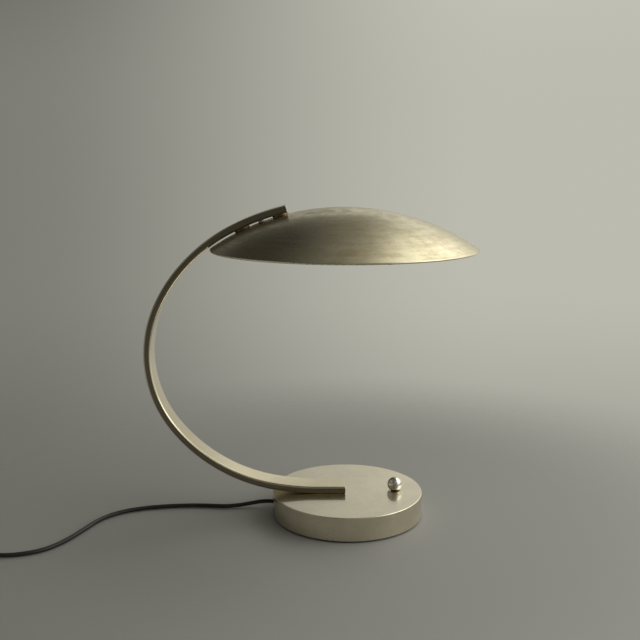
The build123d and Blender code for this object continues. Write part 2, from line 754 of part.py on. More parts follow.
with BuildPart() as cord_clamp_screw:
    with BuildSketch(Plane((clamp_block_middle.X, clamp_block_middle.Y, clamp_screw_low))):
        Circle(clamp_screw_radius)
    extrude(amount=clamp_block_top - clamp_screw_low)
keep(cord_clamp_screw, "cord_clamp_screw")

with BuildPart() as cord_inner:
    with BuildSketch(cord_plane(cord_inner_end)):
        Circle(cord_radius)
    extrude(amount=grommet_face - cord_inner_end)
keep(cord_inner, "cord_inner")

terminal_z = weight_top + terminal_height / 2
terminal_left = terminal_x - terminal_length / 2
terminal_right = terminal_x + terminal_length / 2
with BuildPart() as terminal_block:
    with Locations((terminal_x, terminal_y, terminal_z)):
        Box(terminal_length, terminal_width, terminal_height)
    with BuildSketch(Plane((terminal_left, terminal_y, terminal_z), x_dir=(0, 1, 0), z_dir=(1, 0, 0))):
        with GridLocations(terminal_pitch, 0, 2, 1):
            Circle(terminal_hole)
    extrude(amount=terminal_length, mode=Mode.SUBTRACT)
keep(terminal_block, "terminal_block")

# Two cores from the cord to the terminals, and two wires on to the switch
wire_z = weight_top + core_radius + running_gap
cord_across = Vector(-cord_out.Y, cord_out.X, 0)
wire_routes = []
for hand in (-1, 1):
    row_y = terminal_y + hand * terminal_pitch / 2
    core_start = cord_axis_point - cord_across * (hand * core_spread)
    climb_end = Vector(0, 0, wire_z) - cord_across * (hand * core_fan)
    wire_routes.append([core_start + cord_out * cord_inner_end,
                        core_start + cord_out * (cord_inner_end - cord_tail),
                        climb_end + cord_out * channel_end,
                        Vector(terminal_left - terminal_length / 2, row_y, terminal_z),
                        Vector(terminal_left + terminal_length / 4, row_y, terminal_z)])
    tag_x = switch_x + hand * terminal_pitch / 2
    wire_routes.append([Vector(terminal_right - terminal_length / 4, row_y, terminal_z),
                        Vector(terminal_right + terminal_length / 4, row_y, terminal_z),
                        Vector(tag_x, switch_radius + terminal_length / 3, terminal_z),
                        Vector(tag_x, switch_radius + fit_gap, terminal_z)])
with BuildPart() as base_wires:
    for points in wire_routes:
        with BuildLine() as wire_route:
            FilletPolyline(*points, radius=core_bend)
        with BuildSketch(Plane(wire_route.line @ 0, z_dir=wire_route.line % 0)):
            Circle(core_radius)
        sweep(path=wire_route.line)
keep(base_wires, "base_wires")

# The cord's coil: in on the lower layer, up in one half turn, and out again on the upper layer
coil_pitch = cord_diameter + coil_gap
coil_low = floor_lift + tie_thickness + tie_slack + cord_radius
coil_high = coil_low + coil_pitch
coil_outer = coil_mid_shares * cord_diameter + coil_in_halves * coil_pitch / 4
coil_inner = coil_outer - coil_in_halves * coil_pitch / 2
coil_start = Vector(coil_x, coil_y + coil_outer, coil_low)
half_radii = [coil_outer - i * coil_pitch / 2 for i in range(coil_in_halves)]
half_radii += [coil_inner]
half_radii += [coil_inner + (i + 1) * coil_pitch / 2 for i in range(coil_out_halves)]
with BuildLine() as coil_line:
    turn = Line(coil_start + Vector(cord_diameter, 0, 0), coil_start)
    for i, radius in enumerate(half_radii):
        way = -1 if i % 2 == 0 else 1
        rise_z = coil_pitch if i == coil_in_halves else 0
        begin = turn @ 1
        halfway = begin + Vector(way * sqrt(radius**2 + rise_z**2 / 4), way * radius, rise_z / 2)
        turn = ThreePointArc(begin, halfway, begin + Vector(0, 2 * way * radius, rise_z))
    last_radius = half_radii[-1] + coil_pitch / 2
    turn = JernArc(turn @ 1, turn % 1, last_radius, 90)
    coil_exit = Line(turn @ 1, (turn @ 1) + (turn % 1) * coil_tail)
with BuildPart() as cord_coil:
    with BuildSketch(Plane(coil_line.line @ 0, z_dir=coil_line.line % 0)):
        Circle(cord_radius)
    sweep(path=coil_line.line)
keep(cord_coil, "cord_coil")

# The free stretch: out of the grommet, down to the table and away to the coil
floor_z = floor_lift + cord_radius
cord_exit = cord_axis_point + cord_out * grommet_face
coil_mouth = coil_line.line @ 0
cord_points = [
    cord_exit,
    cord_exit + cord_out * cord_lead,
    Vector(*cord_landing),
    *[Vector(x, y, floor_z) for x, y in cord_route],
    coil_mouth + Vector(coil_run_in, 0, 0),
    coil_mouth,
]
cord_runs = [cord_points[i + 1] - cord_points[i] for i in range(len(cord_points) - 1)]
cord_radii = []
for before, after in zip(cord_runs, cord_runs[1:]):
    half_angle = radians(before.get_angle(after)) / 2
    cord_radii.append(bend_share * min(before.length, after.length) / tan(half_angle))
with BuildLine() as cord_line:
    FilletPolyline(*cord_points, radius=cord_radii)
with BuildPart() as cord_free:
    with BuildSketch(Plane(cord_line.line @ 0, z_dir=cord_line.line % 0)):
        Circle(cord_radius)
    sweep(path=cord_line.line)
keep(cord_free, "cord_free")

# Band that ties the coil, on its right-hand side
tie_near = min(half_radii[1::2])
tie_far = max(half_radii[1::2])
tie_sag = (tie_width / 2 + coil_pitch / 2) ** 2 / (2 * tie_near)
tie_left = coil_x + tie_near - cord_radius - tie_sag - tie_slack
tie_right = coil_x + tie_far + cord_radius + tie_slack
tie_bottom = coil_low - cord_radius - tie_slack
tie_top = coil_high + cord_radius + tie_slack
with BuildPart() as cord_tie:
    with BuildSketch(Plane(((tie_left + tie_right) / 2, coil_y, (tie_bottom + tie_top) / 2), x_dir=(1, 0, 0),
                           z_dir=(0, -1, 0))):
        RectangleRounded(tie_right - tie_left + 2 * tie_thickness, tie_top - tie_bottom + 2 * tie_thickness,
                         tie_corner + tie_thickness)
        RectangleRounded(tie_right - tie_left, tie_top - tie_bottom, tie_corner, mode=Mode.SUBTRACT)
    extrude(amount=tie_width / 2, both=True)
keep(cord_tie, "cord_tie")

# Two-pin plug on the end of the coil, lying on the table
plug_start = coil_exit @ 1
plug_front = boot_length - boot_bite + plug_length
plug_plane = Plane(plug_start, x_dir=(1, 0, 0), z_dir=(0, 0, 1))
pins_plane = Plane(plug_start + Vector(0, -plug_front, 0), x_dir=(1, 0, 0), z_dir=(0, -1, 0))
plug_half = plug_start.Z - floor_lift
with BuildPart() as plug_body:
    with BuildSketch(plug_plane):
        Polygon((-plug_waist / 2, boot_bite - boot_length), (plug_waist / 2, boot_bite - boot_length),
                (plug_width / 2, boot_bite - boot_length - plug_length / 2), (plug_width / 2, -plug_front),
                (-plug_width / 2, -plug_front), (-plug_width / 2, boot_bite - boot_length - plug_length / 2),
                align=None)
    extrude(amount=plug_half, both=True)
    fillet(plug_body.edges().filter_by(Axis.Z), radius=plug_corner)
    fillet(plug_body.faces().filter_by(Axis.Z).edges(), radius=plug_edge)
    with BuildSketch(Plane(plug_start, x_dir=(1, 0, 0), z_dir=(0, -1, 0))):
        Circle(boot_back)
    with BuildSketch(Plane(plug_start + Vector(0, -boot_length, 0), x_dir=(1, 0, 0), z_dir=(0, -1, 0))):
        Circle(boot_front)
    loft()
    with BuildSketch(pins_plane):
        with GridLocations(pin_spacing, 0, 2, 1):
            Circle(pin_radius + fit_gap)
    extrude(amount=-pin_bite, mode=Mode.SUBTRACT)
keep(plug_body, "plug_body")

with BuildPart() as plug_pins:
    with BuildSketch(pins_plane.offset(-pin_bite)):
        with GridLocations(pin_spacing, 0, 2, 1):
            Circle(pin_radius)
    extrude(amount=pin_bite + pin_length)
    fillet(plug_pins.edges().group_by(Axis.Y)[0], radius=pin_tip)
keep(plug_pins, "plug_pins")

# Measures of the cord
coil_length = coil_line.wire().length
free_length = cord_line.wire().length
coil_steps = int(coil_length / coil_gap_step)
coil_points = [coil_line.wire() @ (i / coil_steps) for i in range(coil_steps + 1)]
skip = int(coil_inner / coil_gap_step)
least = min((coil_points[i] - coil_points[j]).length
            for i in range(len(coil_points)) for j in range(i + skip, len(coil_points)))
section = pi * cord_radius**2
print("cord bend radii", [round(radius, 1) for radius in cord_radii])
free_share = cord_free.part.volume / (section * free_length)
coil_share = cord_coil.part.volume / (section * coil_length)
print("free stretch", round(free_length, 1), "volume share", round(free_share, 4))
print("coil", round(coil_length, 1), "volume share", round(coil_share, 4))
print("coil least gap to itself", round(least - cord_diameter, 2))
print("whole cord", round(coil_length + free_length + grommet_face - cord_inner_end, 1))
print("dome centre", dome_centre, "radius", round(shade_radius, 2))
print("bulb axis height", round(holder_z, 1), "holder back", round(holder_back, 1))
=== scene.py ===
import json
from math import cos, pi, radians, sin

import bpy
import bmesh
from mathutils import Matrix, Vector


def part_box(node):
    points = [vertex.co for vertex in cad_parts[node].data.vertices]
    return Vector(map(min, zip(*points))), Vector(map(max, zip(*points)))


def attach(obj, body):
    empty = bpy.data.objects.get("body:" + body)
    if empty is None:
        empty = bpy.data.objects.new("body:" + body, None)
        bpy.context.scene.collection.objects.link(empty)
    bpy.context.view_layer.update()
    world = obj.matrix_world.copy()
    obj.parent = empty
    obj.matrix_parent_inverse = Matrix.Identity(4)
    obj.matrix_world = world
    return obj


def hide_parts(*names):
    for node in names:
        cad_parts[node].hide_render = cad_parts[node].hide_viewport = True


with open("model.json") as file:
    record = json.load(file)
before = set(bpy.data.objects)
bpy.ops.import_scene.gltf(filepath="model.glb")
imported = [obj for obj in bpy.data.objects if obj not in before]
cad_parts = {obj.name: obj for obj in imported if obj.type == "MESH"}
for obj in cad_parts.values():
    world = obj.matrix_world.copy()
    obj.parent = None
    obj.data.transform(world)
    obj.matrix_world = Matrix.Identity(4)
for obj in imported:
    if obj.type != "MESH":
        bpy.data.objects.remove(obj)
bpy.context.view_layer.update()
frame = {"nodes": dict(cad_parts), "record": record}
nodes = frame["nodes"]
print("frame loaded:", len(nodes), "nodes")


# A socket that takes part in sums, so that node maths reads as an expression
class Wire:
    def __init__(self, bench, socket):
        self.bench = bench
        self.socket = socket

    def maths(self, operation, first, second):
        return self.bench.node("ShaderNodeMath", {"operation": operation}, {0: first, 1: second})

    def __add__(self, other):
        return self.maths("ADD", self, other)

    def __radd__(self, other):
        return self.maths("ADD", other, self)

    def __sub__(self, other):
        return self.maths("SUBTRACT", self, other)

    def __rsub__(self, other):
        return self.maths("SUBTRACT", other, self)

    def __mul__(self, other):
        return self.maths("MULTIPLY", self, other)

    def __rmul__(self, other):
        return self.maths("MULTIPLY", other, self)

    def __truediv__(self, other):
        return self.maths("DIVIDE", self, other)

    def __rtruediv__(self, other):
        return self.maths("DIVIDE", other, self)


# One node tree, with the one method that adds nodes to it
class Bench:
    def __init__(self, tree):
        self.tree = tree

    def find(self, sockets, key):
        if isinstance(key, int):
            return sockets[key]
        for socket in sockets:
            if socket.identifier == key:
                return socket
        return sockets[key]

    def node(self, kind, settings=None, inputs=None, out=0):
        made = self.tree.nodes.new(kind)
        for key, value in (settings or {}).items():
            setattr(made, key, value)
        for key, value in (inputs or {}).items():
            socket = self.find(made.inputs, key)
            if isinstance(value, Wire):
                self.tree.links.new(value.socket, socket)
            elif socket.type == "RGBA" and len(value) == 3:
                socket.default_value = (*value, 1.0)
            else:
                socket.default_value = value
        if not len(made.outputs):
            return made
        return Wire(self, self.find(made.outputs, out))

    def vector(self, operation, *inputs, out=0):
        return self.node("ShaderNodeVectorMath", {"operation": operation}, dict(enumerate(inputs)), out)

    def place(self, centre=(0, 0, 0), stretch=(1, 1, 1)):
        spot = self.node("ShaderNodeTexCoord", out="Object")
        return self.vector("MULTIPLY", self.vector("SUBTRACT", spot, centre), stretch)

    def along(self, spot, axis):
        return self.node("ShaderNodeSeparateXYZ", None, {0: spot}, axis)

    def noise(self, spot, scale, detail=3.0, rough=0.5):
        return self.node("ShaderNodeTexNoise", None,
                         {"Vector": spot, "Scale": scale, "Detail": detail, "Roughness": rough}, "Fac")

    def ease(self, value, low, high, start=0.0, end=1.0):
        return self.node("ShaderNodeMapRange", {"interpolation_type": "SMOOTHSTEP"},
                         {"Value": value, "From Min": low, "From Max": high, "To Min": start, "To Max": end})

    def blend(self, share, first, second):
        return self.node("ShaderNodeMix", {"data_type": "RGBA"},
                         {"Factor_Float": share, "A_Color": first, "B_Color": second}, "Result_Color")

    def bump(self, height, strength, depth, edge=0.0, samples=6):
        inputs = {"Height": height, "Strength": strength, "Distance": depth}
        if edge:
            inputs["Normal"] = self.node("ShaderNodeBevel", {"samples": samples}, {"Radius": edge})
        return self.node("ShaderNodeBump", None, inputs)


class Finish(Bench):
    def __init__(self, name):
        self.material = bpy.data.materials.new(name)
        self.material.use_nodes = True
        super().__init__(self.material.node_tree)
        self.tree.nodes.clear()

    def surface(self, **inputs):
        shader = self.node("ShaderNodeBsdfPrincipled", None,
                           {key.replace("_", " "): value for key, value in inputs.items()})
        self.node("ShaderNodeOutputMaterial", None, {"Surface": shader})
        return self.material


def link(name, data):
    made = bpy.data.objects.new(name, data)
    bpy.context.scene.collection.objects.link(made)
    return made


# A Geometry Nodes tree for what repeats or follows a path, with its sizes as named inputs
class Growth(Bench):
    def __init__(self, name, sizes):
        super().__init__(bpy.data.node_groups.new(name, "GeometryNodeTree"))
        self.tree.interface.new_socket("Geometry", in_out="OUTPUT", socket_type="NodeSocketGeometry")
        self.tree.interface.new_socket("Path", in_out="INPUT", socket_type="NodeSocketGeometry")
        self.sizes = {}
        for key, value in sizes.items():
            kind = "NodeSocketInt" if isinstance(value, int) else "NodeSocketFloat"
            socket = self.tree.interface.new_socket(key, in_out="INPUT", socket_type=kind)
            self.sizes[socket.identifier] = value
        self.given = self.tree.nodes.new("NodeGroupInput")

    def size(self, key):
        return Wire(self, self.given.outputs[key])

    def extent(self, *keys):
        return self.node("ShaderNodeCombineXYZ", None, {axis: self.size(key) for axis, key in zip("XYZ", keys)})

    # A ball one unit across
    def bead(self, around, along):
        return self.node("GeometryNodeMeshUVSphere", None, {"Segments": around, "Rings": along, "Radius": 0.5})

    def circle(self, steps, radius):
        return self.node("GeometryNodeCurvePrimitiveCircle", None, {"Resolution": steps, "Radius": radius})

    def spread(self, shape, points, scale):
        return self.node("GeometryNodeInstanceOnPoints", None,
                         {"Points": points, "Instance": shape, "Scale": scale})

    def grow(self, name, shape, finish, place, path=None):
        real = self.node("GeometryNodeRealizeInstances", None, {"Geometry": shape})
        painted = self.node("GeometryNodeSetMaterial", None, {"Geometry": real, "Material": finish})
        self.node("NodeGroupOutput", None, {0: painted})
        grown = link(name, path or bpy.data.meshes.new(name + " seed"))
        step = grown.modifiers.new("growth", "NODES")
        step.node_group = self.tree
        for identifier, value in self.sizes.items():
            step[identifier] = value
        ready = grown.evaluated_get(bpy.context.evaluated_depsgraph_get())
        mesh = bpy.data.meshes.new_from_object(ready)
        grown.modifiers.remove(step)
        grown.data = mesh
        mesh.transform(place)
        mesh.shade_smooth()
        return grown


def pieceFrom(name, shape, finish, sharp=35):
    mesh = bpy.data.meshes.new(name)
    shape.to_mesh(mesh)
    shape.free()
    mesh.materials.append(finish)
    mesh.shade_smooth()
    mesh.set_sharp_from_angle(angle=radians(sharp))
    return link(name, mesh)


# Turns an outline of (along, radius) about the X axis; a radius of zero is a pole
def turned(outline, steps, looped):
    shape = bmesh.new()
    rings = []
    for along, radius in outline:
        count = steps if radius > 0 else 1
        rings.append([shape.verts.new((along, radius * cos(2 * pi * k / steps), radius * sin(2 * pi * k / steps)))
                      for k in range(count)])
    for ring, after in zip(rings, rings[1:] + (rings[:1] if looped else [])):
        for k in range(steps):
            corners = [ring[k % len(ring)], ring[(k + 1) % len(ring)],
                       after[(k + 1) % len(after)], after[k % len(after)]]
            shape.faces.new(list(dict.fromkeys(corners)))
    bmesh.ops.recalc_face_normals(shape, faces=shape.faces)
    return shape


def wear(piece, body, slot, *stoodFor):
    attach(piece, body)
    if stoodFor:
        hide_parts(*stoodFor)
    return piece


# Plain finishes: one noise sets the tone and another the grain, each as scale, detail and roughness.
# rough is a level and how much the tone, or the grain where roughBy says so, adds to it; bump is strength,
# depth and the width of softened edges
plainFacts = {
    "cord vinyl": {"tone": (90, 4), "ease": (0.45, 0.75), "grain": (1400, 2), "bump": (0.15, 0.0002),
                   "colours": ((0.010, 0.010, 0.011), (0.022, 0.021, 0.021)), "rough": (0.34, 0.16)},
    "polished chrome": {"tone": (160, 4, 0.6), "ease": (0.4, 0.75), "rough": (0.04, 0.06),
                        "colours": ((0.80, 0.775, 0.72), (0.70, 0.665, 0.59)), "look": {"Metallic": 1.0}},
    "zinc steel": {"tone": (120, 4), "grain": (1.0, 2), "grainStretch": (60, 900, 60),
                   "bump": (0.08, 0.0001, 0.0003), "rough": (0.3, 0.2), "roughBy": "grain",
                   "colours": ((0.60, 0.60, 0.58), (0.46, 0.45, 0.42)), "look": {"Metallic": 1.0}},
    # Near-black steel for the ring nut under the ball, darkened as painted shade for the shadow beneath the ball
    "blacked steel": {"tone": (400, 4), "ease": (0.45, 0.8), "bump": (0.1, 0.0001, 0.0002), "rough": (0.35, 0.2),
                      "colours": ((0.020, 0.020, 0.021), (0.09, 0.085, 0.08)), "look": {"Metallic": 0.8}},
    "cast iron": {"tone": (60, 5), "ease": (0.5, 0.75), "grain": (700, 3), "bump": (0.4, 0.0004),
                  "colours": ((0.09, 0.088, 0.085), (0.16, 0.10, 0.06)), "rough": (0.55, 0.2),
                  "look": {"Metallic": 0.7}},
    "felt": {"tone": (45, 3), "grain": (900, 4, 0.7), "grainStretch": (1, 1, 3), "bump": (0.7, 0.0005),
             "colours": ((0.018, 0.026, 0.020), (0.034, 0.042, 0.032)), "rough": (0.92, 0),
             "look": {"Sheen_Weight": 0.35}},
    "moulded rubber": {"tone": (300, 4), "bump": (0.2, 0.0002, 0.0003), "rough": (0.55, 0.2),
                       "colours": ((0.012, 0.012, 0.012), (0.026, 0.025, 0.024))},
    "woven tie": {"tone": (1100, 3, 0.7), "grain": (1.0, 1), "grainStretch": (1, 1800, 1), "bump": (0.6, 0.0003),
                  "bumpBy": "both", "colours": ((0.010, 0.010, 0.010), (0.030, 0.029, 0.028)), "rough": (0.85, 0),
                  "look": {"Sheen_Weight": 0.3}},
    "moulded plug": {"tone": (70, 4), "grain": (1500, 2), "bump": (0.25, 0.0002, 0.0005), "rough": (0.38, 0.18),
                     "colours": ((0.014, 0.014, 0.015), (0.024, 0.023, 0.023))},
    "plated pins": {"tone": (200, 3), "toneStretch": (1, 6, 1), "ease": (0.5, 0.8), "rough": (0.16, 0.2),
                    "colours": ((0.72, 0.70, 0.66), (0.62, 0.52, 0.30)), "look": {"Metallic": 1.0}},
    "wire sleeve": {"tone": (220, 3), "colours": ((0.62, 0.60, 0.54), (0.48, 0.45, 0.38)), "rough": (0.42, 0.15)},
    "bakelite": {"tone": (55, 6, 0.65), "ease": (0.42, 0.68), "grain": (600, 2), "bump": (0.08, 0.0002),
                 "colours": ((0.016, 0.012, 0.010), (0.036, 0.024, 0.017)), "rough": (0.24, 0.16),
                 "look": {"Coat_Weight": 0.25}},
    "pale moulding": {"tone": (130, 3), "colours": ((0.70, 0.68, 0.62), (0.58, 0.56, 0.49)), "rough": (0.4, 0.15)},
    "browned brass": {"tone": (250, 4), "bump": (0.06, 0.0001), "rough": (0.34, 0.18),
                      "colours": ((0.26, 0.20, 0.115), (0.13, 0.098, 0.055)), "look": {"Metallic": 1.0}},
    "frosted glass": {"tone": (900, 2), "colours": ((0.93, 0.925, 0.90), (0.88, 0.87, 0.84)),
                      "rough": (0.3, 0.12), "look": {"Transmission_Weight": 0.55, "IOR": 1.46}},
    "rolled aluminium": {"tone": (260, 4), "colours": ((0.72, 0.72, 0.71), (0.55, 0.55, 0.53)),
                         "rough": (0.25, 0.2), "look": {"Metallic": 1.0}},
}


def plainFinish(name):
    facts = plainFacts[name]
    f = Finish(name)
    tone = f.noise(f.place(stretch=facts.get("toneStretch", (1, 1, 1))), *facts["tone"])
    grain = tone
    if "grain" in facts:
        grain = f.noise(f.place(stretch=facts.get("grainStretch", (1, 1, 1))), *facts["grain"])
    share = f.ease(tone, *facts["ease"]) if "ease" in facts else tone
    look = dict(facts.get("look", {}), Base_Color=f.blend(share, *facts["colours"]))
    level, swing = facts["rough"]
    look["Roughness"] = level
    if swing:
        look["Roughness"] = level + swing * (grain if facts.get("roughBy") == "grain" else tone)
    if "bump" in facts:
        look["Normal"] = f.bump(grain + tone if facts.get("bumpBy") == "both" else grain, *facts["bump"])
    return f.surface(**look)


# Camera, at the place and angle that the photograph was taken from
cameraFacts = {"place": (-0.03608, -1.13345, 0.46515), "pitchDown": 10.283, "lens": 50.69, "sensor": 36.0}
cameraData = bpy.data.cameras.new("camera")
cameraData.lens = cameraFacts["lens"]
cameraData.sensor_width = cameraFacts["sensor"]
camera = link("camera", cameraData)
camera.location = cameraFacts["place"]
camera.rotation_euler = (radians(90 - cameraFacts["pitchDown"]), 0, 0)
bpy.context.scene.camera = camera
print("camera set")

# Mains cord: two-core round flex in black vinyl
cordFacts = {
    "diameter": 0.0054, "length": 1.761,
    "exitAzimuth": 171.0, "exitHeight": 0.0091, "exitReach": 0.0996, "lead": 0.013,
    "landing": (-0.131, 0.019, 0.0046), "floor": 0.00275,
    "route": [(-0.158, 0.0126), (-0.194, 0.0174), (-0.232, 0.0156), (-0.269, 0.0086), (-0.300, -0.0056),
              (-0.322, -0.031), (-0.334, -0.066), (-0.347, -0.098), (-0.367, -0.126), (-0.399, -0.139)],
    "coilMiddle": (-0.458, -0.181), "coilLow": 0.00395, "coilPitch": 0.0059, "coilOuter": 0.04125,
    "halvesIn": 6, "halvesOut": 5, "pointsPerHalf": 8, "mouth": 0.0054, "runIn": 0.0236, "tail": 0.037,
    "tailShares": (0.1, 0.5, 1.0),
}


def cordPoints(facts):
    out = Vector((cos(radians(facts["exitAzimuth"])), sin(radians(facts["exitAzimuth"])), 0))
    start = out * facts["exitReach"] + Vector((0, 0, facts["exitHeight"]))
    points = [start, start + out * facts["lead"], Vector(facts["landing"])]
    points += [Vector((x, y, facts["floor"])) for x, y in facts["route"]]
    spot = Vector((facts["coilMiddle"][0], facts["coilMiddle"][1] + facts["coilOuter"], facts["coilLow"]))
    points += [spot + Vector((facts["mouth"] + facts["runIn"], 0, 0)), spot + Vector((facts["mouth"], 0, 0)), spot]
    pitch = facts["coilPitch"]
    inner = facts["coilOuter"] - facts["halvesIn"] * pitch / 2
    radii = [facts["coilOuter"] - i * pitch / 2 for i in range(facts["halvesIn"])] + [inner]
    radii += [inner + (i + 1) * pitch / 2 for i in range(facts["halvesOut"])]
    radii += [radii[-1] + pitch / 2]
    step = pi / facts["pointsPerHalf"]
    outset = 1 / cos(step / 2)          # the curve runs inside its points by this much
    for i, radius in enumerate(radii):
        way = -1 if i % 2 == 0 else 1
        last = i == len(radii) - 1
        middle = spot + Vector((0, way * radius, 0))
        for k in range(facts["pointsPerHalf"] // (2 if last else 1)):
            turn = pi / 2 + pi * i + step * (k + 0.5)
            rise = pitch * (k + 0.5) / facts["pointsPerHalf"] if i == facts["halvesIn"] else 0
            points.append(middle + Vector((cos(turn), sin(turn), 0)) * radius * outset + Vector((0, 0, rise)))
        spot = spot + Vector((0, 2 * way * radius, pitch if i == facts["halvesIn"] else 0))
    end = middle + Vector((-radius, 0, 0))
    points += [end + Vector((0, -facts["tail"] * share, 0)) for share in facts["tailShares"]]
    return points


def smoothLine(name, points, thickness, finish, resolution=6, roundness=5):
    curve = bpy.data.curves.new(name, "CURVE")
    curve.dimensions = "3D"
    curve.resolution_u = resolution
    curve.bevel_depth = thickness / 2
    curve.bevel_resolution = roundness
    curve.use_fill_caps = True
    line = curve.splines.new("NURBS")
    line.points.add(len(points) - 1)
    for knot, point in zip(line.points, points):
        knot.co = (*point, 1.0)
    line.order_u = 3
    line.use_endpoint_u = True
    curve.materials.append(finish)
    return link(name, curve)


cordLine = cordPoints(cordFacts)
cord = smoothLine("mains_cord", cordLine, cordFacts["diameter"], plainFinish("cord vinyl"))
wear(cord, "stand", "black_cord", "cord_free", "cord_coil")
print("cord laid:", len(cordLine), "points")

# Nickel on the base, the arm and the shade, with the sizes that its wear and the arm's painted side shade follow
domeFacts = {"centre": (-0.00546267, 0.0, 0.0996014), "outer": 0.3034, "inner": 0.3022}
armFacts = {
    "width": 0.036, "thickness": 0.0092, "edge": 0.003, "edgeSteps": 8, "endSoft": 0.0005,
    "footEnd": -0.0028, "footRun": 0.03345, "footSteps": 12, "footHeading": 180.0, "stepAngle": 0.7,
    "weld": 1e-7, "endAngle": 60, "endSteps": 3, "flatWeight": 90,
    "arcs": [(0.3354, 10.2), (0.2092, 42.4), (0.1528, 63.7), (0.2114, 36.4), (0.3104, 13.9)],
}
nickelFacts = {
    "all": {"cloud": (22, 5, 0.6), "haze": (140, 4, 0.6), "speck": (640, 2), "cloudEase": (0.35, 0.7),
            "lineEase": (0.5, 0.8, 0.0, 0.3), "speckEase": (0.66, 0.8, 0.0, 0.45), "spots": (0.44, 0.37, 0.25),
            "hazeRough": 0.10, "cloudRough": 0.05, "lineRough": 0.06, "cloudFilm": 0.2, "bump": (0.02, 0.00005),
            "coat": {"Coat_Roughness": 0.06, "Coat_IOR": 2.5}},
    "base": {"bright": (0.70, 0.625, 0.44), "dull": (0.61, 0.535, 0.365), "rough": 0.19, "film": 0.8,
             "lines": (1.0, 2), "ringCount": 1300, "drift": (9, 2), "driftShare": 6},
    "arm": {"bright": (0.70, 0.635, 0.475), "dull": (0.645, 0.575, 0.415), "rough": 0.08, "film": 0.0,
            "lines": (1.0, 2), "lineStretch": (18, 1500, 18),
            # Painted shade: the arm's narrow sides are darkened towards this colour, eased in over the last
            # millimetre of the width
            "paintedShade": (0.15, 0.128, 0.092), "paintedShadeFrom": 0.0010, "paintedShadeTo": 0.0002, "paintedShadeShare": 0.85},
    "rim": {"bright": (0.70, 0.64, 0.48), "dull": (0.56, 0.49, 0.345), "rough": 0.08, "film": 0.0,
            "lines": (60, 3)},
    "shade": {"bright": (0.70, 0.645, 0.48), "dull": (0.46, 0.395, 0.255), "spots": (0.32, 0.265, 0.17),
              "paint": (0.80, 0.785, 0.73), "paintRough": 0.5, "paintFrom": 0.0002, "paintTo": 0.0004,
              "rings": 300, "around": (2.4, 2.4, 0), "streak": (1.0, 5, 0.65), "wiped": (26, 5, 0.7),
              "wipedStretch": (1.0, 2.5, 6.0), "cloud": (13, 5, 0.6), "mottle": (70, 6, 0.7), "speck": (520, 2),
              "ageShares": (0.28, 0.24, 0.28, 0.2), "ageEase": (0.41, 0.60), "speckEase": (0.64, 0.8, 0.0, 0.45),
              "rough": 0.21, "ageRough": 0.12, "streakRough": 0.05,
              "bumpShares": (0.5, 0.3), "bump": (0.05, 0.0002)},
}


def platedNickel(f, lines, own, paintedShade=None):
    facts = nickelFacts["all"]
    spot = f.place()
    cloud, haze, speck = (f.noise(spot, *facts[key]) for key in ("cloud", "haze", "speck"))
    colour = f.blend(f.ease(cloud, *facts["cloudEase"]), own["bright"], own["dull"])
    colour = f.blend(f.ease(lines, *facts["lineEase"]), colour, facts["spots"])
    colour = f.blend(f.ease(speck, *facts["speckEase"]), colour, facts["spots"])
    # Where a painted shade mask is given, it darkens the colour towards the piece's painted shade colour
    if paintedShade:
        colour = f.blend(paintedShade, colour, own["paintedShade"])
    rough = own["rough"] + facts["hazeRough"] * haze + facts["cloudRough"] * cloud + facts["lineRough"] * lines
    return f.surface(Base_Color=colour, Metallic=1.0, Roughness=rough, Normal=f.bump(lines, *facts["bump"]),
                     Coat_Weight=own["film"] + facts["cloudFilm"] * cloud, **facts["coat"])


# Fine rings from the spinning lathe
def baseNickel(facts):
    f = Finish("base nickel")
    spot = f.place()
    reach = f.vector("LENGTH", f.vector("MULTIPLY", spot, (1, 1, 0)), out="Value")
    drift = f.noise(spot, *facts["drift"])
    turns = f.node("ShaderNodeCombineXYZ", None,
                   {"X": reach * facts["ringCount"], "Y": f.along(spot, "Z") * facts["ringCount"],
                    "Z": drift * facts["driftShare"]})
    return platedNickel(f, f.noise(turns, *facts["lines"]), facts)


# Polished lengthwise, with the narrow sides darkened by painted shade
def armNickel(facts):
    f = Finish("arm nickel")
    lines = f.noise(f.place(stretch=facts["lineStretch"]), *facts["lines"])
    across = f.node("ShaderNodeMath", {"operation": "ABSOLUTE"}, {0: f.along(f.place(), "Y")})
    side = armFacts["width"] / 2
    # Painted shade mask over the arm's narrow sides
    paintedSideShade = f.ease(across, side - facts["paintedShadeFrom"], side - facts["paintedShadeTo"], 0.0, facts["paintedShadeShare"])
    return platedNickel(f, lines, facts, paintedSideShade)


